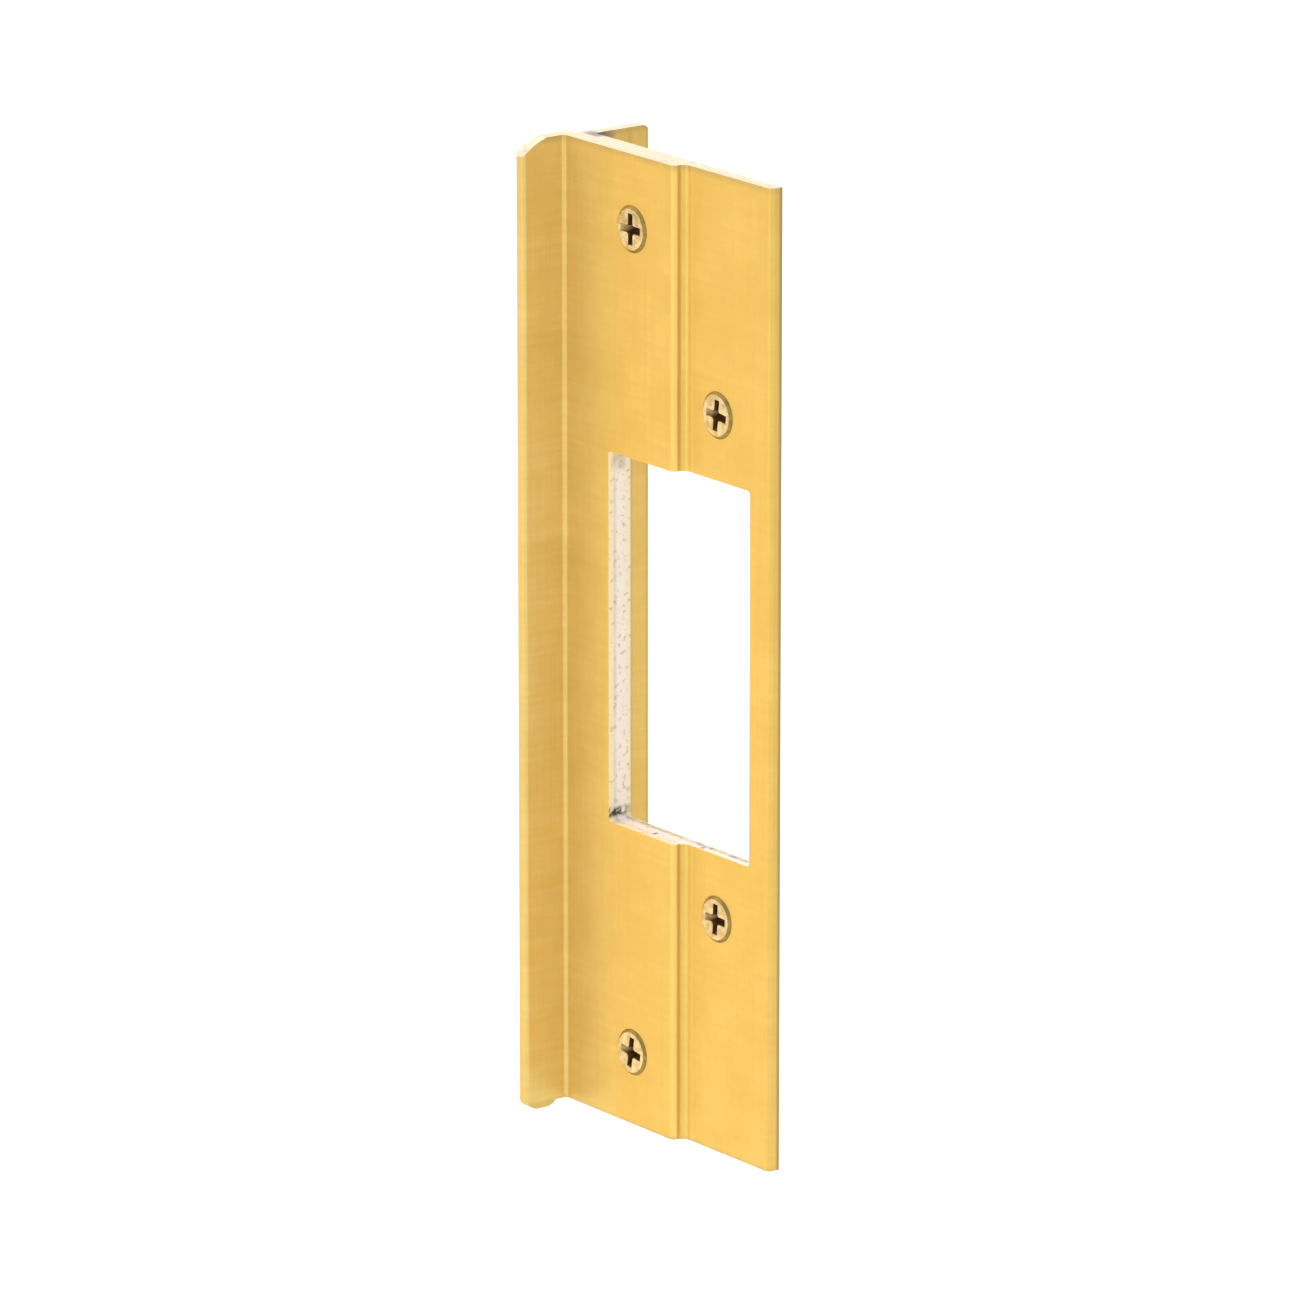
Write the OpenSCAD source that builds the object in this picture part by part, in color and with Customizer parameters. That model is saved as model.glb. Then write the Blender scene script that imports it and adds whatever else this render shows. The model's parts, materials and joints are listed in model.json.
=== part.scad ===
// Latch guard for an electric strike: two extruded angles stacked leaf on leaf,
// with a cut-out through both, held by four countersunk machine screws.
//
// Frame: +X runs from the flanges towards the free edge, +Y goes back into the jamb and +Z is up.
// The origin lies on the back face, midway between the two strike screws.

/* [Extrusions] */
// Height of both angles
height = 203.2; // [180:0.1:230]
// Thickness of every leaf and flange
leaf_t = 2.8; // [2.4:0.1:3.2]
// Width of the base leaf, from its flange's outer face to the free edge
base_w = 63.5; // [60:0.5:75]
// Width of the guard leaf, from its flange's inner face to the toe of its free edge
guard_w = 37.4; // [34:0.1:38]
// How far the guard's flange stands out in front of its leaf
front_flange = 10.4; // [6:0.1:14]
// How far the base's flange reaches back behind its leaf
rear_flange = 13.9; // [8:0.1:20]

/* [Edges] */
// How far the cut-back upper corner of the guard's flange reaches along its top
front_corner_w = 6.2; // [4:0.1:7]
// How far it reaches down the flange's front edge
front_corner_h = 3.5; // [2:0.1:6]
// Roundness of that corner: 1 is a straight cut and 2 is an arc
front_corner_curve = 1.3; // [1.1:0.1:2]
// How far the guard flange's rounded lower end hangs below the leaves
foot_drop = 1.1; // [0.5:0.1:1.5]
// Width of the guard flange's rounded lower end
foot_w = 8.4; // [6.6:0.1:9]
// Radius of its two corners
foot_r = 3.2; // [2:0.1:3.3]
// Radius of the base flange's two free corners
rear_corner_r = 2; // [1:0.1:4]
// Radius along the leaves' free front edges
leaf_edge_r = 1.2; // [0.6:0.1:1.3]
// Thickness of the toe that the guard leaf's free edge sweeps down to
toe_t = 0.2; // [0.15:0.05:0.5]
// Radius along the flanges' free edges
flange_edge_r = 0.9; // [0.4:0.1:1.2]
// Radius of the hollow between a leaf and its flange
inner_r = 0.9; // [0.5:0.1:1.5]

/* [Cut-out] */
// Clear width of the cut-out
cutout_w = 42.6; // [38:0.1:44]
// Clear height of the cut-out
cutout_h = 77.8; // [60:0.1:80]
// Distance from the cut-out to the base leaf's free edge
cutout_margin = 6.5; // [5:0.1:9]
// Radius in the cut-out's corners
cutout_r = 0.8; // [0.5:0.1:2]

/* [Screws] */
// Spacing of the two strike screws
strike_spacing = 104.775; // [100:0.005:110]
// Distance from the strike screws to the base leaf's free edge
strike_inset = 17; // [15:0.1:18]
// Spacing of the two guard screws
guard_spacing = 172.4; // [160:0.1:180]
// Distance from the guard screws to the guard flange's inner face
guard_inset = 22.2; // [16:0.1:24]
// Length of a strike screw, head included
strike_screw_l = 12.7; // [9.5:0.1:19]
// Length of a guard screw, head included
guard_screw_l = 19.05; // [12:0.05:25]
// Diameter over the screw thread
thread_d = 4.826; // [4.2:0.001:5]
// Diameter of the screw head
head_d = 9.5; // [8.6:0.1:9.7]
// How far the screw head stands proud of the face that it is sunk in, with a 45 degree slope round its face
head_proud = 0.5; // [0.3:0.05:0.7]

/* [Hidden] */
$fn = 96;

GOLD = [0.94, 0.74, 0.36];
PALE_GOLD = [0.86, 0.75, 0.46];

eps = 0.01;                                   // overrun of a cut past a face

// Heights on Y of the faces that the leaves share
back_y = 0;
seam_y = back_y - leaf_t;
face_y = seam_y - leaf_t;

// Places on X, from the strike screws' line
free_x = strike_inset;
base_x = free_x - base_w;                     // outer face of the base's flange
guard_x = base_x;                             // inner face of the guard's flange
guard_free_x = guard_x + guard_w;
guard_screw_x = guard_x + guard_inset;
strike_screw_x = free_x - strike_inset;
cutout_x = free_x - cutout_margin - cutout_w;

// Ends on Y of the flanges, and on Z of the leaves
front_tip = face_y - front_flange;
rear_tip = back_y + rear_flange;
top_z = height / 2;

// Screws: an 82 degree head, in a hole with room round the thread
head_angle = 82;
hole_d = 5.8;
sink_gap = 0.1;                               // room round the head, at its rim
neck_d = 4.1;                                 // plain neck, as far as the back of what is clamped
thread_start = 0.15;                          // from the back of what is clamped to the thread
point_l = 1;                                  // chamfered end of the thread

// Cross recess in the head
driver_d = 5.8;                               // across the wings
driver_wing = 1.2;
driver_depth = 2.1;
driver_core_d = 2.6;

// How far each screw has stopped turned past upright, in degrees
upper_guard_turn = 0;
lower_guard_turn = 8;
upper_strike_turn = 6;
lower_strike_turn = 2;

function cone_depth(d1, d2) = (d1 - d2) / 2 / tan(head_angle / 2);

// Between the corner at the origin and an arc in +x +y: what a rounding takes off, or what a fillet adds
module corner(r) {
  difference() {
    translate([-eps, -eps]) square(r + eps);
    translate([r, r]) circle(r);
  }
}

// What a cut-back corner at the origin takes off: w along +x and h along +y, curved as n says
module eased_corner(w, h, n) {
  steps = 16;
  curve = [for (i = [0:steps])
    [w * (1 - pow(cos(90 * i / steps), 2 / n)), h * (1 - pow(sin(90 * i / steps), 2 / n))]];
  polygon(concat([[w, -eps], [-eps, -eps], [-eps, h]], curve));
}

// A rectangle from one corner to the opposite one
module rect(low, high) {
  translate(low) square(high - low);
}

// Draws a shape in Y and Z out along X, from x
module across(x, width) {
  translate([x, 0, 0]) rotate([90, 0, 90]) linear_extrude(width) children();
}

// Takes a 2D shape, its own corner at the origin, off one corner of a flange that ends at y = tip:
// side is 1 where the metal lies towards +y, and end is 1 for the upper corner
module flange_corner(x, tip, side, end) {
  across(x - leaf_t, 3 * leaf_t)
    translate([tip, end * top_z])
      mirror([side > 0 ? 0 : 1, 0])
        mirror([0, end > 0 ? 1 : 0])
          children();
}

// Takes off what lies below the leaves, but for the guard flange's rounded lower end
module foot_waste() {
  bottom = -top_z - foot_drop;
  arc_z = bottom + foot_r;
  arcs_y = [front_tip + foot_r, front_tip + foot_w - foot_r];
  across(guard_x - 2 * leaf_t, guard_w + 3 * leaf_t)
    difference() {
      union() {
        rect([front_tip - eps, bottom - eps], [seam_y + eps, -top_z]);
        rect([front_tip - eps, bottom - eps], [arcs_y[0], arc_z]);
      }
      rect([arcs_y[0], bottom], [arcs_y[1], arc_z]);
      for (y = arcs_y) translate([y, arc_z]) circle(foot_r);
    }
}

// The rectangular hole for the keeper, right through both leaves
module cutout() {
  low = [cutout_x, -cutout_h / 2];
  high = [cutout_x + cutout_w, cutout_h / 2];
  r = cutout_r;
  translate([0, back_y + leaf_t, 0])
    rotate([90, 0, 0])
      linear_extrude(4 * leaf_t) {
        rect(low + [r, 0], high - [r, 0]);
        rect(low + [0, r], high - [0, r]);
        for (x = [low[0] + r, high[0] - r], z = [low[1] + r, high[1] - r])
          translate([x, z]) circle(r, $fn = 48);
      }
}

// Clearance hole and countersink for a screw whose head sits in the face at y = seat
module screw_hole(x, z, seat) {
  sink_d = head_d + 2 * sink_gap;
  depth = cone_depth(sink_d, hole_d);
  translate([x, seat, z])
    rotate([-90, 0, 0]) {
      translate([0, 0, -eps]) cylinder(d = hole_d, h = 3 * leaf_t);
      cylinder(d1 = sink_d, d2 = hole_d, h = depth);
      translate([0, 0, -1]) cylinder(d = sink_d, h = 1 + eps);
    }
}

// A pair of screw holes, above and below the middle
module screw_holes(x, spacing, seat) {
  for (z = [-spacing / 2, spacing / 2]) screw_hole(x, z, seat);
}

// What the guard leaf's free edge loses: it is rounded in front, then sweeps out in a cove to a thin toe
module toe_waste() {
  cove_r = leaf_t - leaf_edge_r - toe_t;
  wall_x = guard_free_x - cove_r;
  cove_y = face_y + leaf_edge_r;
  rect([wall_x, face_y - eps], [guard_free_x + eps, cove_y]);
  translate([guard_free_x, cove_y]) circle(cove_r);
  translate([wall_x, face_y]) mirror([1, 0]) corner(leaf_edge_r);
}

// Front angle: its leaf lies on the base leaf and its flange stands out to the front
module guard_angle() {
  flange_x = guard_x - leaf_t;
  color(GOLD)
    difference() {
      translate([0, 0, -top_z - foot_drop])
        linear_extrude(height + foot_drop)
          difference() {
            union() {
              rect([flange_x, face_y], [guard_free_x, seam_y]);
              rect([flange_x, front_tip], [guard_x, seam_y]);
              translate([guard_x, face_y]) mirror([0, 1]) corner(inner_r);
            }
            toe_waste();
            translate([guard_x, front_tip]) mirror([1, 0]) corner(flange_edge_r);
            translate([flange_x, front_tip]) corner(flange_edge_r);
            translate([flange_x, seam_y]) mirror([0, 1]) corner(flange_edge_r);
          }
      flange_corner(flange_x, front_tip, 1, 1)
        eased_corner(front_corner_w, front_corner_h, front_corner_curve);
      foot_waste();
      cutout();
      screw_holes(guard_screw_x, guard_spacing, face_y);
    }
}

// Rear angle: full-width leaf against the jamb, with its flange reaching back round the jamb's corner
module base_angle() {
  flange_x = base_x + leaf_t;
  color(GOLD)
    difference() {
      translate([0, 0, -top_z])
        linear_extrude(height)
          difference() {
            union() {
              rect([base_x, seam_y], [free_x, back_y]);
              rect([base_x, seam_y], [flange_x, rear_tip]);
              translate([flange_x, back_y]) corner(inner_r);
            }
            translate([free_x, seam_y]) mirror([1, 0]) corner(leaf_edge_r);
            translate([flange_x, rear_tip]) mirror([1, 0]) mirror([0, 1]) corner(flange_edge_r);
            translate([base_x, rear_tip]) mirror([0, 1]) corner(flange_edge_r);
          }
      for (end = [-1, 1]) flange_corner(base_x, rear_tip, -1, end) corner(rear_corner_r);
      cutout();
      screw_holes(guard_screw_x, guard_spacing, face_y);
      screw_holes(strike_screw_x, strike_spacing, seam_y);
    }
}

// Cross recess, from the head's face down
module driver_recess() {
  intersection() {
    union() {
      for (turn = [0, 90])
        rotate(turn)
          translate([-driver_d / 2, -driver_wing / 2, -eps])
            cube([driver_d, driver_wing, driver_depth + eps]);
      translate([0, 0, -eps]) cylinder(d1 = driver_core_d, d2 = driver_wing, h = driver_depth, $fn = 48);
    }
    translate([0, 0, -eps]) cylinder(d1 = driver_d, d2 = driver_wing, h = driver_depth + eps, $fn = 48);
  }
}

// Flat-head machine screw that clamps a thickness: its head's face at z = 0, its point towards +z
module flat_screw(length, grip) {
  cone_l = cone_depth(head_d, neck_d);
  thread_z = head_proud + grip + thread_start;
  point_z = length - point_l;
  color(PALE_GOLD)
    difference() {
      union() {
        cylinder(d1 = head_d - 2 * head_proud, d2 = head_d, h = head_proud);
        translate([0, 0, head_proud]) cylinder(d1 = head_d, d2 = neck_d, h = cone_l);
        cylinder(d = neck_d, h = point_z);
        translate([0, 0, thread_z]) cylinder(d = thread_d, h = point_z - thread_z);
        translate([0, 0, point_z]) cylinder(d1 = thread_d, d2 = thread_d - point_l, h = point_l);
      }
      driver_recess();
    }
}

// A screw driven home in the face at y = seat, clamping everything from there to the back face
module seated_screw(x, z, seat, length, turn) {
  translate([x, seat - head_proud, z])
    rotate([0, turn, 0])
      rotate([-90, 0, 0])
        flat_screw(length, back_y - seat);
}

module upper_guard_screw() {
  seated_screw(guard_screw_x, guard_spacing / 2, face_y, guard_screw_l, upper_guard_turn);
}

module lower_guard_screw() {
  seated_screw(guard_screw_x, -guard_spacing / 2, face_y, guard_screw_l, lower_guard_turn);
}

module upper_strike_screw() {
  seated_screw(strike_screw_x, strike_spacing / 2, seam_y, strike_screw_l, upper_strike_turn);
}

module lower_strike_screw() {
  seated_screw(strike_screw_x, -strike_spacing / 2, seam_y, strike_screw_l, lower_strike_turn);
}

guard_angle();
base_angle();
upper_guard_screw();
lower_guard_screw();
upper_strike_screw();
lower_strike_screw();
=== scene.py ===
"""Looks of the electric strike latch guard: two gold anodised angles, their raw cut ends and four screws."""

import json
import math

import bmesh
import bpy
from mathutils import Matrix, Vector


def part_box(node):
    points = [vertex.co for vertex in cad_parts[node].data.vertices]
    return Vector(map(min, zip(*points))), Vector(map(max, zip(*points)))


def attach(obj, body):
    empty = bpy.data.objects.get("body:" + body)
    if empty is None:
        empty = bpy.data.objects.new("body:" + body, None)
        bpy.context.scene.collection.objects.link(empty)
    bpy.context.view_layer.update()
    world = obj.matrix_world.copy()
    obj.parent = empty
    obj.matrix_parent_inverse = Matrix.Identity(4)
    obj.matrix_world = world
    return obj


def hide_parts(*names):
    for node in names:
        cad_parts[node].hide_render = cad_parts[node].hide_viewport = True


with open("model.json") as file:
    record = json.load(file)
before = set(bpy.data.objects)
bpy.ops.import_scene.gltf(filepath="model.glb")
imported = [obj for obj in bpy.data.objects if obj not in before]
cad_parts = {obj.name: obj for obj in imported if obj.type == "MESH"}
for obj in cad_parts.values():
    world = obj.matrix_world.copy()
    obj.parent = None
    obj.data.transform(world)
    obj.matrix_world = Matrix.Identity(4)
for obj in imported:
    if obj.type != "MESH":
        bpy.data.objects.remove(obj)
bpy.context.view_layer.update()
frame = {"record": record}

MM = 0.001

# ---------------------------------------------------------------- places, all from the frame

guard_low, guard_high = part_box("guard_angle")
base_low, base_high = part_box("base_angle")
LEAF_T = base_low.x - guard_low.x            # every leaf and flange is this thick
SEAM_Y = base_low.y                          # where the two leaves meet
FACE_Y = SEAM_Y - LEAF_T                     # front of the guard leaf
BACK_Y = SEAM_Y + LEAF_T                     # back of the base leaf
HALF_H = guard_high.z
FOOT_DROP = base_low.z - guard_low.z         # how far the guard flange's rounded end hangs below the leaves

openings = frame["record"]["physics"]["openings"]
cutout_box = next(o["box_m"] for o in openings if o["name"] == "latch_cutout")
OPENING_ROOM = 0.3 * MM                      # the stated opening stays this far inside the cut-out
CUT_LOW = Vector((cutout_box[0][0] - OPENING_ROOM, 0, cutout_box[0][2] - OPENING_ROOM))
CUT_HIGH = Vector((cutout_box[1][0] + OPENING_ROOM, 0, cutout_box[1][2] + OPENING_ROOM))

SCREWS = {                                   # node: (face that it seats in, turn of its recess in degrees)
    "upper_guard_screw": (FACE_Y, 0),
    "lower_guard_screw": (FACE_Y, 8),
    "upper_strike_screw": (SEAM_Y, 6),
    "lower_strike_screw": (SEAM_Y, 2),
}

SCREW_BOXES = {node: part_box(node) for node in SCREWS}
SCREW_AXES = {node: ((low.x + high.x) / 2, (low.z + high.z) / 2) for node, (low, high) in SCREW_BOXES.items()}

LEAF_EDGE_R = 1.2 * MM                       # rounding of the leaves' free edges
FLANGE_EDGE_R = 0.9 * MM                     # rounding of the flanges' tips and the guard's outer bend
HOLLOW_R = 0.9 * MM                          # fillet in the hollow between a leaf and its flange
TOE_T = 0.06 * MM                            # the exposed edge of the guard leaf's toe, feathered
FRONT_CORNER = (6.2 * MM, 3.5 * MM, 1.3)     # cut along the guard flange's top, cut down its edge, roundness
REAR_CORNER = (2 * MM, 2 * MM, 2)            # the same for the base flange, where 2 is a plain arc
FOOT_W = 8.4 * MM                            # width of the guard flange's rounded lower end
FOOT_R = 3.2 * MM                            # rounding of that end's two corners
CUT_CORNER_R = 0.8 * MM                      # rounding of the cut-out's corners
HEAD_ANGLE = math.radians(82)                # whole angle of a countersunk head
HEAD_PROUD = 0.5 * MM                        # a head's face stands this far out of its leaf
HEAD_R = (SCREW_BOXES["upper_guard_screw"][1].x - SCREW_BOXES["upper_guard_screw"][0].x) / 2
SINK_R = HEAD_R + 0.1 * MM                   # countersink, a little wider than the head
HOLE_R = 2.9 * MM                            # clearance hole
DEBURR = 0.16 * MM                           # softening of every cut arris
SPARE = MM                                   # cutters run past the metal by this much
HOLE_COLUMNS = 96


# ---------------------------------------------------------------- mesh helpers

def new_object(name, bm):
    """A mesh object made of bm, in the scene."""
    mesh = bpy.data.meshes.new(name)
    bmesh.ops.recalc_face_normals(bm, faces=bm.faces)
    bm.to_mesh(mesh)
    bm.free()
    piece = bpy.data.objects.new(name, mesh)
    bpy.context.scene.collection.objects.link(piece)
    return piece


def arc(centre, radius, start, end, steps=14):
    """Points on an arc, with angles in degrees."""
    points = []
    for i in range(steps + 1):
        a = math.radians(start + (end - start) * i / steps)
        points.append((centre[0] + radius * math.cos(a), centre[1] + radius * math.sin(a)))
    return points


def close_rings(bm, rings):
    """A closed solid: walls from each ring of vertices to the next, and a cap at either end."""
    for near, far in zip(rings, rings[1:]):
        for i in range(len(near)):
            j = (i + 1) % len(near)
            bm.faces.new((near[i], near[j], far[j], far[i]))
    bm.faces.new(rings[0][::-1])
    bm.faces.new(rings[-1])


def prism(bm, outline, low, high, place):
    """A closed prism of an outline. place(u, v, w) puts outline point (u, v) at height w in space."""
    close_rings(bm, [[bm.verts.new(place(u, v, w)) for u, v in outline] for w in (low, high)])


def lathe(bm, rows, columns, place):
    """A closed solid turned about an axis.

    rows are (depth, radius_at), where radius_at takes a share of the turn from 0 to 1. place(u, v, depth)
    puts point (u, v) at that depth in space.
    """
    rings = []
    for depth, radius_at in rows:
        ring = []
        for column in range(columns):
            share = column / columns
            angle, radius = 2 * math.pi * share, radius_at(share)
            ring.append(bm.verts.new(place(radius * math.cos(angle), radius * math.sin(angle), depth)))
        rings.append(ring)
    close_rings(bm, rings)


def apply_modifiers(piece):
    """Gives piece the mesh that its modifiers make, and drops them."""
    graph = bpy.context.evaluated_depsgraph_get()
    mesh = bpy.data.meshes.new_from_object(piece.evaluated_get(graph))
    piece.modifiers.clear()
    piece.data = mesh


def cut(piece, cutter):
    """Takes cutter out of piece, and removes cutter."""
    difference = piece.modifiers.new("cut", "BOOLEAN")
    difference.operation = "DIFFERENCE"
    difference.solver = "EXACT"
    difference.object = cutter
    apply_modifiers(piece)
    bpy.data.objects.remove(cutter)


def soften(piece):
    """Deburrs the sharp edges of piece, and shades it smooth between them."""
    bevel = piece.modifiers.new("deburr", "BEVEL")
    bevel.width = DEBURR
    bevel.segments = 2
    bevel.limit_method = "ANGLE"
    bevel.angle_limit = math.radians(40)
    bevel.use_clamp_overlap = True
    apply_modifiers(piece)
    for polygon in piece.data.polygons:
        polygon.use_smooth = True
    weighted = piece.modifiers.new("shade", "WEIGHTED_NORMAL")
    weighted.keep_sharp = False
    weighted.weight = 100
    apply_modifiers(piece)


# ---------------------------------------------------------------- the angles

def guard_outline():
    """Section of the guard angle, seen from above: flange to the front, leaf to the right."""
    left, inner, free = guard_low.x, base_low.x, guard_high.x
    tip, f, e, h = guard_low.y, FLANGE_EDGE_R, LEAF_EDGE_R, HOLLOW_R
    cove = LEAF_T - e - TOE_T
    return (
        arc((left + f, SEAM_Y - f), f, 90, 180)
        + arc((left + f, tip + f), f, 180, 270)
        + arc((inner - f, tip + f), f, 270, 360)
        + arc((inner + h, FACE_Y - h), h, 180, 90)
        + arc((free - cove - e, FACE_Y + e), e, 270, 360)
        + arc((free, FACE_Y + e), cove, 180, 90)[1:]
        + [(free, SEAM_Y)]
    )


def base_outline():
    """Section of the base angle, seen from above: flange to the back, leaf to the right."""
    left, inner, free = base_low.x, base_low.x + LEAF_T, base_high.x
    tip, f, e, h = base_high.y, FLANGE_EDGE_R, LEAF_EDGE_R, HOLLOW_R
    return (
        [(left, SEAM_Y)]
        + arc((free - e, SEAM_Y + e), e, 270, 360)
        + [(free, BACK_Y)]
        + arc((inner + h, BACK_Y + h), h, 270, 180)
        + arc((inner - f, tip - f), f, 0, 90)
        + arc((left + f, tip - f), f, 90, 180)
    )


def cutout_cutter(bm):
    """The latch cut-out, through both leaves."""
    r = CUT_CORNER_R
    outline = (
        arc((CUT_LOW.x + r, CUT_LOW.z + r), r, 180, 270)
        + arc((CUT_HIGH.x - r, CUT_LOW.z + r), r, 270, 360)
        + arc((CUT_HIGH.x - r, CUT_HIGH.z - r), r, 0, 90)
        + arc((CUT_LOW.x + r, CUT_HIGH.z - r), r, 90, 180)
    )
    prism(bm, outline, FACE_Y - LEAF_T, BACK_Y + LEAF_T, lambda u, v, w: (u, w, v))


def hole_cutter(bm, node):
    """Clearance hole and countersink for a screw."""
    x, z = SCREW_AXES[node]
    seat = SCREWS[node][0]
    sink_depth = (SINK_R - HOLE_R) / math.tan(HEAD_ANGLE / 2)
    profile = [(-SPARE, SINK_R), (0, SINK_R), (sink_depth, HOLE_R), (3 * LEAF_T, HOLE_R)]
    rows = [(depth, lambda share, radius=radius: radius) for depth, radius in profile]
    lathe(bm, rows, HOLE_COLUMNS, lambda u, v, depth: (x + u, seat + depth, z + v))


def corner_cutter(bm, x, tip, inward, corner, ends):
    """Cuts back a flange's free corners. It ends at y = tip, and inward is 1 or -1, towards its metal."""
    width, height, roundness = corner
    outside, above = tip - inward * SPARE, HALF_H + SPARE
    for end in ends:
        outline = [(outside, end * above), (outside, end * (HALF_H - height))]
        for y, z in arc((0, 0), 1, 0, 90, 28):
            y, z = max(y, 0) ** (2 / roundness), max(z, 0) ** (2 / roundness)
            outline.append((tip + inward * width * (1 - y), end * (HALF_H - height * (1 - z))))
        outline.append((tip + inward * width, end * above))
        prism(bm, outline, x - LEAF_T, x + 2 * LEAF_T, lambda u, v, w: (w, u, v))


def foot_cutter(bm):
    """What lies below the leaves, but for the guard flange's rounded lower end."""
    tip, below, arc_z = guard_low.y, guard_low.z - SPARE, guard_low.z + FOOT_R
    root_side = math.degrees(math.asin((FOOT_R - FOOT_DROP) / FOOT_R))
    outline = arc((tip + FOOT_R, arc_z), FOOT_R, 180, 270, 28)
    outline += arc((tip + FOOT_W - FOOT_R, arc_z), FOOT_R, 270, 360 - root_side, 18)
    inside, outside = SEAM_Y + SPARE, tip - SPARE
    outline += [(inside, -HALF_H), (inside, below), (outside, below), (outside, arc_z)]
    prism(bm, outline, guard_low.x - SPARE, guard_high.x + SPARE, lambda u, v, w: (w, u, v))


def make_angle(name, outline, bottom, holes, shape_ends):
    """An angle: its section, drawn out to the full height and then cut to shape."""
    bm = bmesh.new()
    prism(bm, outline, bottom, HALF_H, lambda u, v, w: (u, v, w))
    piece = new_object(name, bm)
    for number, shape in enumerate([cutout_cutter, *shape_ends, *holes]):
        cutter = bmesh.new()
        shape(cutter)
        cut(piece, new_object(f"{name}_cutter_{number}", cutter))
    soften(piece)
    return piece


def holes_for(*nodes):
    """A hole cutter for each screw named."""
    return [lambda bm, node=node: hole_cutter(bm, node) for node in nodes]


guard = make_angle(
    "guard_angle_fine", guard_outline(), guard_low.z, holes_for("upper_guard_screw", "lower_guard_screw"),
    [lambda bm: corner_cutter(bm, guard_low.x, guard_low.y, 1, FRONT_CORNER, [1]), foot_cutter])
base = make_angle(
    "base_angle_fine", base_outline(), base_low.z, holes_for(*SCREWS),
    [lambda bm: corner_cutter(bm, base_low.x, base_high.y, -1, REAR_CORNER, [-1, 1])])


# ---------------------------------------------------------------- the screws

PITCH = 25.4 / 24 * MM                       # 24 threads to the inch
THREAD_R = 2.413 * MM
ROOT_R = 1.85 * MM
THREAD_FLAT = 0.14                           # share of half a pitch that is flat at root and crest
RUN_IN = 1.2 * PITCH                         # the thread rises to its full height over this much
POINT_L = 0.55 * MM                          # length of the chamfer at the point
TIP_R = THREAD_R - 0.62 * MM                 # flat end of the point
SCREW_COLUMNS = 72
ROWS_PER_PITCH = 10
CROWN = (                                    # the head's rounded rim: depth and distance in from it, in mm
    (0, 0.62), (0.015, 0.54), (0.05, 0.47), (0.1, 0.41),
    (0.2, 0.3), (0.3, 0.2), (0.4, 0.1), (0.47, 0.04),
)
RECESS_LEVELS = (                            # depth, half span, half wing and corner of the core, in mm
    (-0.4, 3.5, 0.98, 1.4), (0.0, 3.3, 0.86, 1.26), (0.12, 3.2, 0.77, 1.14),
    (0.6, 2.85, 0.68, 1.02), (1.3, 2.2, 0.58, 0.88), (2.0, 1.4, 0.44, 0.64), (2.3, 0.6, 0.2, 0.3),
)
CORE_BULGE = 1.12                            # the core swells this much between two wings
RECESS_R = 3.4 * MM                          # the painted recess shade lies nearer the axis than this,
RECESS_LIP = 0.2 * MM                        # deeper than this
RECESS_DEPTH = 2.35 * MM                     # and less deep than this
RIM_FROM = 0.55 * MM                         # the painted shade on the slope starts this far in from the head's rim


def screw_rows(length, head_r):
    """(depth, radius, thread height) down the screw from the head's face."""
    rows = [(depth * MM, head_r - inset * MM, 0) for depth, inset in CROWN]
    cone_end = HEAD_PROUD + (head_r - ROOT_R) / math.tan(HEAD_ANGLE / 2)
    rows += [
        (HEAD_PROUD, head_r, 0),                             # the rim's widest place
        (HEAD_PROUD + 0.06 * MM, head_r - 0.03 * MM, 0),     # rounded off just under it
        (cone_end - 0.5 * MM, ROOT_R + 0.45 * MM, 0),        # the foot of the cone
        (cone_end, ROOT_R, 0),                               # the neck
    ]
    step = PITCH / ROWS_PER_PITCH
    depth = cone_end + step
    while depth < length - 0.02 * MM:
        run_in = min(1, (depth - cone_end) / RUN_IN)
        limit = THREAD_R - max(0, POINT_L - (length - depth))
        root = min(ROOT_R, limit)
        rows.append((depth, root, run_in * (min(THREAD_R, limit) - root)))
        depth += step
    rows.append((length, TIP_R, 0))
    return rows


def thread_shape(phase):
    """Height of a 60 degree thread, from 0 at its root to 1 at its crest, at a phase from 0 to 1."""
    rise = 1 - abs(2 * phase - 1)
    return max(0, min(1, (rise - THREAD_FLAT) / (1 - 2 * THREAD_FLAT)))


def turned(u, v, degrees):
    """Point (u, v) turned about the origin."""
    c, s = math.cos(math.radians(degrees)), math.sin(math.radians(degrees))
    return u * c - v * s, u * s + v * c


def recess_cutter(bm, turn):
    """A cross recess at the origin that narrows downwards, turned by so many degrees: rings of a plus."""
    rings = []
    for depth, span, wing, core in RECESS_LEVELS:
        ring = []
        for side in (0, 90, 180, 270):
            ring += [
                turned(span, -wing, side + turn),
                turned(span, wing, side + turn),
                turned(core, wing, side + turn),
                turned(core * CORE_BULGE, 0, side + 45 + turn),
                turned(core, -wing, side + 90 + turn),
            ]
        rings.append([bm.verts.new((u * MM, depth * MM, v * MM)) for u, v in ring])
    close_rings(bm, rings)


def make_screw(node):
    """A flat-head cross-recess machine screw with its helical thread."""
    low, high = SCREW_BOXES[node]
    x, z = SCREW_AXES[node]
    bm = bmesh.new()
    rows = []
    for depth, radius, height in screw_rows(high.y - low.y, (high.x - low.x) / 2):
        rows.append((depth, lambda share, depth=depth, radius=radius, height=height:
                     radius + height * thread_shape((depth / PITCH + share) % 1)))
    lathe(bm, rows, SCREW_COLUMNS, lambda u, v, depth: (u, depth, v))
    piece = new_object(node + "_fine", bm)
    cutter = bmesh.new()
    recess_cutter(cutter, -SCREWS[node][1])
    cut(piece, new_object(node + "_recess", cutter))
    piece.data.transform(Matrix.Translation((x, low.y, z)))
    piece.data.shade_smooth()
    piece.data.set_sharp_from_angle(angle=math.radians(32))
    return piece


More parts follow.
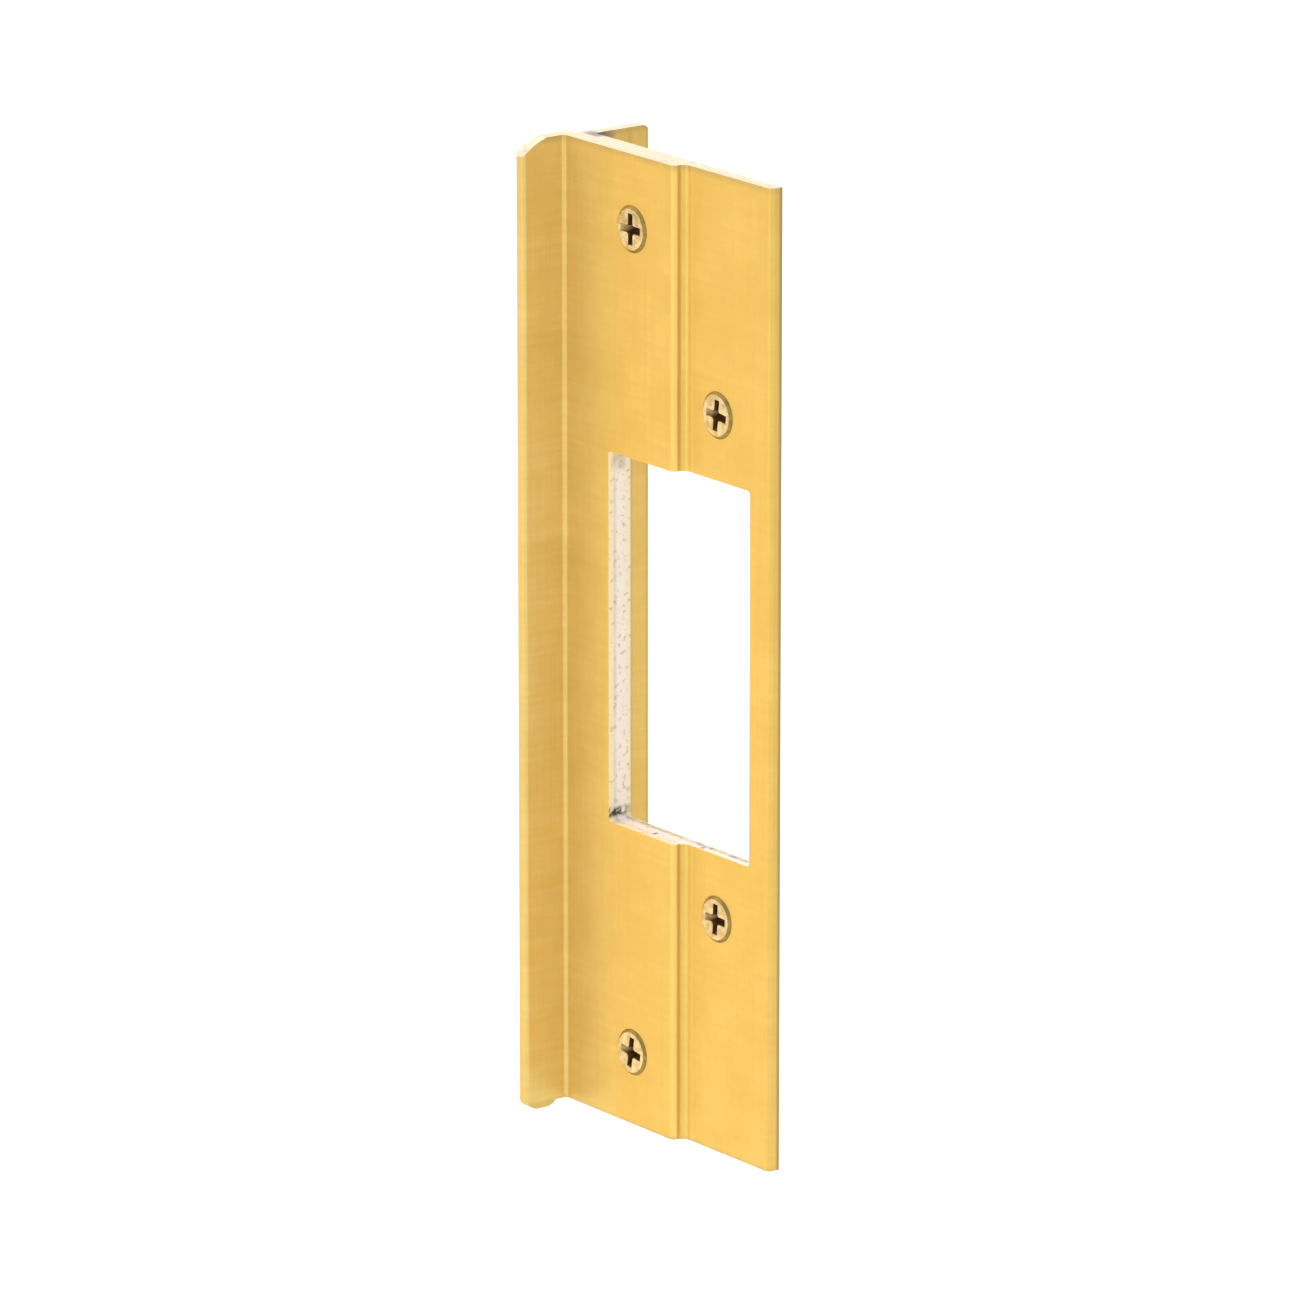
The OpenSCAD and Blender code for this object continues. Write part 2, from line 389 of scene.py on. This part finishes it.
screws = {node: make_screw(node) for node in SCREWS}


# ---------------------------------------------------------------- materials

MIX_A, MIX_B, MIX_OUT = 6, 7, 2              # a Mix node's sockets for colour


class Nodes:
    """Short names for building a material's node tree."""

    def __init__(self, name):
        self.material = bpy.data.materials.new(name)
        self.material.use_nodes = True
        self.tree = self.material.node_tree
        self.tree.nodes.clear()
        self.shader = self.add("ShaderNodeBsdfPrincipled")
        out = self.add("ShaderNodeOutputMaterial")
        self.link(self.shader.outputs[0], out.inputs[0])
        self.place = self.add("ShaderNodeTexCoord").outputs["Object"]

    def add(self, kind, **settings):
        """A new node, with its settings."""
        node = self.tree.nodes.new(kind)
        for key, value in settings.items():
            setattr(node, key, value)
        return node

    def link(self, a, b):
        self.tree.links.new(a, b)

    def axis(self, name):
        """The place along X, Y or Z, in metres."""
        node = self.add("ShaderNodeSeparateXYZ")
        self.link(self.place, node.inputs[0])
        return node.outputs[name]

    def band(self, name, low, high, fade):
        """1 between two places along an axis, fading to 0 outside them."""
        rise = self.spread(self.axis(name), low - fade, low)
        fall = self.spread(self.axis(name), high, high + fade, 1.0, 0.0)
        return self.times(rise, fall)

    def stretched(self, scale):
        """The place, scaled along each axis, for noise that runs in lines."""
        node = self.add("ShaderNodeMapping")
        node.inputs["Scale"].default_value = scale
        self.link(self.place, node.inputs["Vector"])
        return node.outputs[0]

    def noise(self, scale, detail=4.0, rough=0.55, vector=None):
        """Smooth noise from 0 to 1."""
        node = self.add("ShaderNodeTexNoise")
        node.inputs["Scale"].default_value = scale
        node.inputs["Detail"].default_value = detail
        node.inputs["Roughness"].default_value = rough
        self.link(vector or self.place, node.inputs["Vector"])
        return node.outputs["Fac"]

    def spread(self, value, low, high, to_low=0.0, to_high=1.0):
        """Maps low to high onto to_low to to_high, clamped."""
        node = self.add("ShaderNodeMapRange", clamp=True)
        for key, number in (("From Min", low), ("From Max", high), ("To Min", to_low), ("To Max", to_high)):
            node.inputs[key].default_value = number
        self.link(value, node.inputs["Value"])
        return node.outputs[0]

    def mix(self, factor, a, b):
        """Colour a where factor is 0, and b where it is 1."""
        node = self.add("ShaderNodeMix", data_type="RGBA")
        self.link(factor, node.inputs["Factor"])
        for socket, value in ((node.inputs[MIX_A], a), (node.inputs[MIX_B], b)):
            if isinstance(value, tuple):
                socket.default_value = (*value, 1.0)
            else:
                self.link(value, socket)
        return node.outputs[MIX_OUT]

    def math(self, operation, a, b):
        """One operation on two sockets or numbers."""
        node = self.add("ShaderNodeMath", operation=operation)
        for socket, value in zip(node.inputs, (a, b)):
            if isinstance(value, (int, float)):
                socket.default_value = value
            else:
                self.link(value, socket)
        return node.outputs[0]

    def times(self, first, *others):
        """The product of sockets or numbers."""
        for other in others:
            first = self.math("MULTIPLY", first, other)
        return first

    def bump(self, height, distance, strength, normal=None):
        """A normal that follows height, up to distance metres, on top of another normal."""
        node = self.add("ShaderNodeBump")
        node.inputs["Distance"].default_value = distance
        node.inputs["Strength"].default_value = strength
        self.link(height, node.inputs["Height"])
        if normal is not None:
            self.link(normal, node.inputs["Normal"])
        return node.outputs[0]


def srgb(red, green, blue):
    """Linear colour of an sRGB one, each from 0 to 255."""
    linear = []
    for value in (red, green, blue):
        v = value / 255
        linear.append(v / 12.92 if v <= 0.04045 else ((v + 0.055) / 1.055) ** 2.4)
    return tuple(linear)


# Each mask is a socket from 0 to 1. Its sizes are places along an axis, and a band's last one is its fade.

def edge_turn_shade_mask(n):
    """Painted shade: the dark line down the guard leaf's free edge, where the rounding turns into the cove.
    """
    past_leaf = n.spread(n.axis("X"), guard_high.x - LEAF_T, guard_high.x - LEAF_T + 0.01 * MM)
    turn_y = FACE_Y + LEAF_EDGE_R
    return n.times(past_leaf, n.band("Y", turn_y + 0.05 * MM, turn_y + 0.45 * MM, 0.25 * MM))


def crest_highlight_mask(n):
    """Painted highlight: the paler crest of the rounding beside that line."""
    past_leaf = n.spread(n.axis("X"), guard_high.x - LEAF_T, guard_high.x - LEAF_T + 0.3 * MM)
    return n.times(past_leaf, n.band("Y", FACE_Y + 0.12 * MM, FACE_Y + 0.8 * MM, 0.2 * MM))


def toe_light_mask(n):
    """Painted light: the paler strip of the leaves on both sides of the guard's toe, lifting the shade in the
    crease there.
    """
    toe = n.band("X", guard_high.x - 0.3 * MM, guard_high.x + 0.9 * MM, 0.9 * MM)
    return n.times(toe, n.spread(n.axis("Y"), BACK_Y - MM, SEAM_Y, 0.0, 0.55))


def sawn_end_shade_mask(n):
    """Painted shade: a darker strip along each sawn end, uneven along its length."""
    upper = n.spread(n.axis("Z"), HALF_H - 1.6 * MM, HALF_H - 0.5 * MM, 0.0, 0.75)
    lower = n.spread(n.axis("Z"), -HALF_H, -HALF_H + 0.9 * MM, 0.75, 0.0)
    return n.times(n.math("MAXIMUM", upper, lower), n.spread(n.noise(240.0, 3.0, 0.6), 0.3, 0.6, 0.45, 1.0))


def back_arris_shade_mask(n):
    """A brown line of painted shade down the back arris of the base leaf's free edge."""
    at_edge = n.spread(n.axis("X"), base_high.x - 0.3 * MM, base_high.x - 0.2 * MM)
    return n.times(at_edge, n.band("Y", BACK_Y - 0.45 * MM, BACK_Y, 0.5 * MM))


def rear_flange_bands_mask(n):
    """Darker bands on the inside of the base's flange: down its free edge and along its middle."""
    edge = n.band("Y", base_high.y - 0.8 * MM, base_high.y, 0.5 * MM)
    middle = n.times(n.band("Y", base_high.y - 5.3 * MM, base_high.y - 4.8 * MM, 0.6 * MM), 0.6)
    inside = n.spread(n.axis("X"), base_low.x + LEAF_T - 0.5 * MM, base_low.x + LEAF_T - 0.2 * MM, 0.0, 0.6)
    return n.times(n.math("MAXIMUM", edge, middle), inside)


def upper_hollow_shade_mask(n):
    """Painted shade: grey in the upper end of the hollow behind the base leaf, which the leaf shades."""
    near_root = n.spread(n.axis("Y"), BACK_Y + 3 * MM, BACK_Y + 5.5 * MM, 1.0, 0.0)
    behind = n.spread(n.axis("Y"), BACK_Y + 0.1 * MM, BACK_Y + 0.3 * MM)
    at_top = n.spread(n.axis("Z"), HALF_H - 4 * MM, HALF_H - 2 * MM)
    inside = n.spread(n.axis("X"), base_low.x + LEAF_T - 0.2 * MM, base_low.x + LEAF_T)
    return n.times(near_root, behind, at_top, inside, n.spread(n.noise(420.0, 4.0, 0.6), 0.25, 0.6, 0.3, 1.0))


def cove_shade_mask(n):
    """Painted shade: a duller tone on the front flange and beside its root, where the hollow is shaded,
    thinning out across the leaf.
    """
    fading = n.spread(n.axis("X"), guard_low.x + 8 * MM, guard_low.x + 22 * MM, 1.0, 0.0)
    inside = n.spread(n.axis("X"), guard_low.x + 0.8 * MM, guard_low.x + 2.6 * MM)
    return n.times(fading, inside, n.spread(n.axis("Y"), SEAM_Y, BACK_Y, 1.0, 0.4))


def top_root_shade_mask(n):
    """Painted shade: grey on the base leaf's upper end, beside its flange."""
    along = n.band("X", base_low.x + 2 * MM, base_low.x + 5 * MM, 2 * MM)
    across = n.band("Y", BACK_Y - 1.2 * MM, BACK_Y + 0.2 * MM, 1.2 * MM)
    return n.times(along, across, n.spread(n.axis("Z"), HALF_H - MM, HALF_H))


def sill_mask(n):
    """Marks on the cut-out's sill: a grey line of scale near its back edge and three nicks."""
    patchy = n.spread(n.noise(300.0, 4.0, 0.65), 0.35, 0.6, 0.1, 0.8)
    marks = n.times(n.band("Y", BACK_Y - 1.1 * MM, BACK_Y - 0.6 * MM, 0.7 * MM), patchy)
    for from_wall, from_face in ((12.6, 2.3), (26.4, 3.8), (27.8, 4.9)):
        x, y = CUT_LOW.x + from_wall * MM, FACE_Y + from_face * MM
        along = n.band("X", x - 0.2 * MM, x + 0.2 * MM, 0.5 * MM)
        across = n.band("Y", y - 0.3 * MM, y + 0.3 * MM, 0.6 * MM)
        marks = n.math("MAXIMUM", marks, n.times(along, across))
    return n.times(marks, n.band("Z", CUT_LOW.z - MM, CUT_LOW.z + 0.2 * MM, 0.2 * MM))


def flange_wall_mask(n):
    """The cut-out's wall beside the flange."""
    return n.spread(n.axis("X"), CUT_LOW.x + 0.5 * MM, CUT_LOW.x + MM, 1.0, 0.0)


def cutout_corner_shade_mask(n):
    """Painted shade: a dark patch in the cut-out's lower corner beside the flange."""
    low_down = n.band("Z", CUT_LOW.z + 1.2 * MM, CUT_LOW.z + 2.3 * MM, 0.9 * MM)
    towards_front = n.spread(n.axis("Y"), FACE_Y + 3 * MM, FACE_Y + 5.5 * MM, 1.0, 0.3)
    ragged = n.spread(n.noise(520.0, 4.0, 0.7), 0.36, 0.52)
    return n.times(low_down, flange_wall_mask(n), towards_front, ragged)


def upper_wall_patch_mask(n):
    """A faint grey patch at the upper end of the cut-out's wall beside the flange."""
    high_up = n.band("Z", CUT_HIGH.z - 3.6 * MM, CUT_HIGH.z - 1.4 * MM, 1.2 * MM)
    between = n.band("Y", FACE_Y + 1.6 * MM, FACE_Y + 3.6 * MM, 1.2 * MM)
    ragged = n.spread(n.noise(430.0, 4.0, 0.7), 0.36, 0.6, 0.2, 0.75)
    return n.times(high_up, between, flange_wall_mask(n), ragged)


def arris_tint_mask(n):
    """The gold that tints a cut face near the front and the back of the metal."""
    near_front = n.band("Y", guard_low.y, FACE_Y + 0.7 * MM, MM)
    near_back = n.spread(n.axis("Y"), BACK_Y - 1.9 * MM, BACK_Y - 0.4 * MM)
    return n.times(n.math("MAXIMUM", near_front, near_back), 0.8)


def dim_line_mask(n):
    """A patchy dim line along the cut faces, inside the guard leaf's thickness."""
    line = n.band("Y", FACE_Y + 1.5 * MM, FACE_Y + 1.7 * MM, 0.6 * MM)
    return n.times(line, n.spread(n.noise(160.0, 3.0, 0.6), 0.3, 0.6, 0.3, 0.9))


def upper_end_shade_mask(n):
    """Painted shade: the upper sawn ends are a little browner than the other cut faces, toning down the light
    that falls on them from above.
    """
    return n.spread(n.axis("Z"), HALF_H - 6 * MM, HALF_H - 4 * MM)


def lit_wing_mask(n):
    """Painted light: the outer end of each recess's left wing, which faces the light, is left pale."""
    columns = sorted({x for x, _ in SCREW_AXES.values()})
    wings = [n.band("X", x - RECESS_R, x - 2.6 * MM, 1.3 * MM) for x in columns]
    mask = wings[0]
    for wing in wings[1:]:
        mask = n.math("MAXIMUM", mask, wing)
    return n.times(mask, n.spread(n.noise(1100.0, 3.0, 0.6), 0.3, 0.6, 0.35, 1.0))


def gold_material():
    """Satin gold anodising on extruded aluminium: drawn lines up the height, faint cross grain, mottling."""
    n = Nodes("gold_anodised_satin")
    n.shader.inputs["Metallic"].default_value = 0.45
    n.shader.inputs["Specular Tint"].default_value = (*srgb(255, 225, 160), 1)
    lines = n.noise(1.0, 3.0, 0.6, n.stretched((2600, 2600, 22)))
    fine_lines = n.noise(1.0, 2.0, 0.5, n.stretched((9000, 9000, 60)))
    cross_grain = n.noise(1.0, 3.0, 0.6, n.stretched((45, 45, 850)))
    mottle = n.noise(95.0, 5.0, 0.6)
    blotch = n.spread(mottle, 0.35, 0.65)
    colour = n.mix(blotch, srgb(236, 190, 92), srgb(246, 201, 104))
    # painted shade: the hue of the shaded hollow by the front flange
    colour = n.mix(cove_shade_mask(n), colour, n.mix(blotch, srgb(231, 201, 121), srgb(241, 210, 132)))
    colour = n.mix(n.spread(lines, 0.3, 0.7, 0.0, 0.36), colour, srgb(230, 184, 88))
    colour = n.mix(n.spread(cross_grain, 0.35, 0.65, 0.0, 0.34), colour, srgb(232, 184, 86))
    for mask, overlay in (
            # painted shade: the dark line at the turn of the guard's edge
            (edge_turn_shade_mask, (212, 172, 84)),
            # painted highlight on the crest of the edge's rounding
            (crest_highlight_mask, (248, 206, 112)),
            # painted light: lifts the shade in the crease at the toe
            (toe_light_mask, (255, 219, 114)),
            # painted shade along the sawn ends
            (sawn_end_shade_mask, (204, 172, 100)),
            # painted shade down the back arris
            (back_arris_shade_mask, (178, 150, 104)),
            (rear_flange_bands_mask, (194, 166, 106)),
            # painted shade in the upper end of the hollow
            (upper_hollow_shade_mask, (112, 100, 92))):
        colour = n.mix(mask(n), colour, srgb(*overlay))
    n.link(colour, n.shader.inputs["Base Color"])
    rough = n.math("ADD", n.spread(lines, 0.3, 0.7, 0.38, 0.46), n.spread(mottle, 0.3, 0.7, -0.02, 0.02))
    n.link(rough, n.shader.inputs["Roughness"])
    normal = n.bump(lines, 0.02 * MM, 0.5)
    n.link(n.bump(fine_lines, 0.006 * MM, 0.4, normal), n.shader.inputs["Normal"])
    return n.material


def raw_material():
    """Bare cut aluminium: fine saw marks, pale and patchy, with brown specks."""
    n = Nodes("raw_cut_aluminium")
    n.shader.inputs["Metallic"].default_value = 0.15
    n.shader.inputs["Roughness"].default_value = 0.5
    marks = n.noise(1.0, 3.0, 0.6, n.stretched((900, 900, 5200)))
    cloud = n.noise(260.0, 4.0, 0.65)
    specks = n.noise(900.0, 2.0, 0.5)
    colour = n.mix(n.spread(cloud, 0.3, 0.7), srgb(255, 240, 208), srgb(255, 232, 202))
    colour = n.mix(n.spread(marks, 0.35, 0.65, 0.0, 0.4), colour, srgb(238, 216, 178))
    blush = n.spread(n.noise(520.0, 4.0, 0.7), 0.42, 0.62, 0.0, 0.7)
    colour = n.mix(blush, colour, srgb(255, 226, 214))
    # each pair is a mask and the colour it lays on; several are painted shade
    for mask, raw_overlay in (
            (arris_tint_mask, (252, 228, 168)),
            (dim_line_mask, (232, 206, 172)),
            # painted shade on the upper ends
            (upper_end_shade_mask, (238, 207, 170)),
            # painted shade on the upper end beside the base's flange
            (top_root_shade_mask, (150, 138, 126)),
            (sill_mask, (150, 134, 128)),
            (upper_wall_patch_mask, (176, 162, 132)),
            # painted shade in the cut-out's lower corner
            (cutout_corner_shade_mask, (52, 46, 38))):
        colour = n.mix(mask(n), colour, srgb(*raw_overlay))
    colour = n.mix(n.spread(specks, 0.56, 0.74, 0.0, 0.6), colour, srgb(176, 144, 108))
    n.link(colour, n.shader.inputs["Base Color"])
    n.link(n.bump(marks, 0.04 * MM, 0.5), n.shader.inputs["Normal"])
    return n.material


def screw_material():
    """Pale brass-toned plating, clouded, dented and finely scratched."""
    n = Nodes("pale_brass_plate")
    n.shader.inputs["Metallic"].default_value = 0.75
    cloud = n.noise(700.0, 4.0, 0.6)
    dents = n.noise(620.0, 2.0, 0.5)
    scratches = n.noise(1.0, 3.0, 0.6, n.stretched((5200, 900, 1400)))
    colour = n.mix(n.spread(cloud, 0.35, 0.65), srgb(246, 218, 156), srgb(206, 172, 108))
    n.link(colour, n.shader.inputs["Base Color"])
    n.link(n.spread(scratches, 0.3, 0.7, 0.26, 0.42), n.shader.inputs["Roughness"])
    normal = n.bump(dents, 0.3 * MM, 0.7)
    n.link(n.bump(scratches, 0.01 * MM, 0.4, normal), n.shader.inputs["Normal"])
    return n.material


def rim_shade_material():
    """Painted shade on the head's sloped rim: a dull brown for the shade round the raised head."""
    n = Nodes("rim_painted_shade")
    n.shader.inputs["Metallic"].default_value = 0.6
    cloud = n.noise(900.0, 4.0, 0.6)
    colour = n.mix(n.spread(cloud, 0.35, 0.65), srgb(150, 116, 46), srgb(184, 146, 66))
    n.link(colour, n.shader.inputs["Base Color"])
    n.link(n.spread(cloud, 0.3, 0.7, 0.42, 0.58), n.shader.inputs["Roughness"])
    n.link(n.bump(cloud, 0.01 * MM, 0.5), n.shader.inputs["Normal"])
    return n.material


def recess_shade_material():
    """Painted shade inside a screw's cross recess: dark brown for the shade of its depth."""
    n = Nodes("recess_painted_shade")
    n.shader.inputs["Metallic"].default_value = 0.4
    overlay = n.noise(2400.0, 4.0, 0.6)
    colour = n.mix(n.spread(overlay, 0.35, 0.65), srgb(68, 38, 6), srgb(114, 74, 20))
    # painted light on the lit end of the left wing
    colour = n.mix(lit_wing_mask(n), colour, srgb(214, 178, 112))
    n.link(colour, n.shader.inputs["Base Color"])
    n.link(n.spread(overlay, 0.3, 0.7, 0.45, 0.65), n.shader.inputs["Roughness"])
    n.link(n.bump(overlay, 0.01 * MM, 0.5), n.shader.inputs["Normal"])
    return n.material


ANGLE_FINISHES = [gold_material(), raw_material()]
GOLD, CUT = range(len(ANGLE_FINISHES))
SCREW_FINISHES = [screw_material(), recess_shade_material(), rim_shade_material()]
PLATED, RECESS, RIM = range(len(SCREW_FINISHES))


def near_screw(point):
    """Whether a point lies in a screw's hole or countersink."""
    return any(math.hypot(point.x - x, point.z - z) < SINK_R + DEBURR for x, z in SCREW_AXES.values())


def is_cut(centre, normal):
    """Whether a face was cut after anodising: at an end, in the cut-out or on a flange's corner."""
    if near_screw(centre):
        return False
    faces_up, faces_down = normal.z > 0.3, normal.z < -0.85     # the foot's rounded sides stay gold
    if faces_up or faces_down:
        return True
    in_cutout = (CUT_LOW.x - DEBURR < centre.x < CUT_HIGH.x + DEBURR
                 and CUT_LOW.z - DEBURR < centre.z < CUT_HIGH.z + DEBURR)
    if in_cutout and abs(normal.x) > 0.6:
        return True
    beside_corner = centre.z > HALF_H - FRONT_CORNER[1] - DEBURR
    on_its_steep_part = normal.z > 0.02 and abs(normal.y) > 0.3
    return beside_corner and on_its_steep_part


def dress_angle(piece, node):
    """Gives an angle its two finishes, and puts it in the place of its CAD node."""
    piece.data.materials.clear()
    for material in ANGLE_FINISHES:
        piece.data.materials.append(material)
    for polygon in piece.data.polygons:
        polygon.material_index = CUT if is_cut(polygon.center, polygon.normal) else GOLD
    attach(piece, "plates")
    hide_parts(node)


def dress_screw(piece, node):
    """Gives a screw its three finishes, and puts it in the place of its CAD node."""
    piece.data.materials.clear()
    for material in SCREW_FINISHES:
        piece.data.materials.append(material)
    face_y = SCREW_BOXES[node][0].y
    x, z = SCREW_AXES[node]
    for polygon in piece.data.polygons:
        radius = math.hypot(polygon.center.x - x, polygon.center.z - z)
        depth = polygon.center.y - face_y
        # faces inside the recess take the painted recess shade
        if radius < RECESS_R and RECESS_LIP < depth < RECESS_DEPTH:
            polygon.material_index = RECESS
        # the rim's slope takes the painted shade
        elif radius > HEAD_R - RIM_FROM and depth < 2 * HEAD_PROUD:
            polygon.material_index = RIM
        else:
            polygon.material_index = PLATED
    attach(piece, node)
    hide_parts(node)


dress_angle(guard, "guard_angle")
dress_angle(base, "base_angle")
for screw_node, screw in screws.items():
    dress_screw(screw, screw_node)


# ---------------------------------------------------------------- stage, lights and camera

FLOOR_GAP = 0.16                             # from the leaves' lower ends down to the floor
FLOOR_HALF = 12                              # half the floor's side
CAMERA_AZIMUTH = math.radians(52.29)         # to the right of straight in front
CAMERA_PITCH = math.radians(15.70)           # downwards
CAMERA_DISTANCE = 2.018                      # from the aim
AIM_LEFT, AIM_UP = 3.5036 * MM, 0.2416 * MM  # the picture's centre lies this far from the aim
SENSOR_WIDTH, LENS = 36, 277.5323            # in millimetres


def make_floor():
    """A wide pale floor below the guard, which hangs over it as it does on a jamb."""
    bm = bmesh.new()
    bmesh.ops.create_grid(bm, x_segments=4, y_segments=4, size=FLOOR_HALF)
    floor = new_object("floor", bm)
    floor.location = (0, 0, -HALF_H - FLOOR_GAP)
    n = Nodes("pale_floor")
    n.shader.inputs["Roughness"].default_value = 0.9
    n.link(n.mix(n.spread(n.noise(3.0), 0.3, 0.7), (0.94, 0.9, 0.81), (0.96, 0.92, 0.83)),
           n.shader.inputs["Base Color"])
    floor.data.materials.append(n.material)


def make_light(name, place, size, power, colour=(1, 1, 1), aim=(0, 0, 0)):
    """A soft box at place, facing aim."""
    light = bpy.data.lights.new(name, "AREA")
    light.shape = "RECTANGLE"
    light.size, light.size_y = size
    light.energy = power
    light.color = colour
    lamp = bpy.data.objects.new(name, light)
    lamp.location = place
    lamp.rotation_euler = (Vector(aim) - Vector(place)).to_track_quat("-Z", "Y").to_euler()
    bpy.context.scene.collection.objects.link(lamp)


def make_world(strength, colour):
    """An even light from all round."""
    world = bpy.data.worlds.new("studio")
    world.use_nodes = True
    background = world.node_tree.nodes["Background"]
    background.inputs["Color"].default_value = (*colour, 1)
    background.inputs["Strength"].default_value = strength
    bpy.context.scene.world = world


def make_camera():
    """A long lens to the right of the plate and above it, looking at the middle of its height."""
    aim = Vector((base_low.x + 30 * MM, FACE_Y + 3 * MM, 0))
    right = Vector((math.cos(CAMERA_AZIMUTH), math.sin(CAMERA_AZIMUTH), 0))
    level = Vector((-right.y, right.x, 0))
    ahead = level * math.cos(CAMERA_PITCH) + Vector((0, 0, -math.sin(CAMERA_PITCH)))
    up = right.cross(ahead)
    camera = bpy.data.objects.new("camera", bpy.data.cameras.new("camera"))
    camera.location = aim - ahead * CAMERA_DISTANCE
    target = aim - right * AIM_LEFT + up * AIM_UP
    camera.rotation_euler = (target - camera.location).to_track_quat("-Z", "Y").to_euler()
    camera.data.sensor_width = SENSOR_WIDTH
    camera.data.lens = LENS
    camera.data.clip_start, camera.data.clip_end = 0.05, 50
    bpy.context.scene.collection.objects.link(camera)
    bpy.context.scene.camera = camera


make_camera()
make_floor()
make_world(strength=0.57, colour=(0.85, 1.0, 1.27))
make_light("key", place=(-1.3, -0.9, 0.9), size=(1.4, 1.4), power=10, colour=(1.15, 0.93, 0.66))
make_light("top", place=(-0.7, 0.6, 1.9), size=(2.2, 2.2), power=46, aim=(-0.4, 0.4, 0))
make_light("fill", place=(1.6, -0.5, 0.5), size=(1.2, 1.2), power=6.6, colour=(0.85, 1.0, 1.3))
make_light("front", place=(0.1, -1.6, 0.05), size=(0.3, 0.5), power=2.5)
bpy.context.scene.view_settings.view_transform = "Standard"
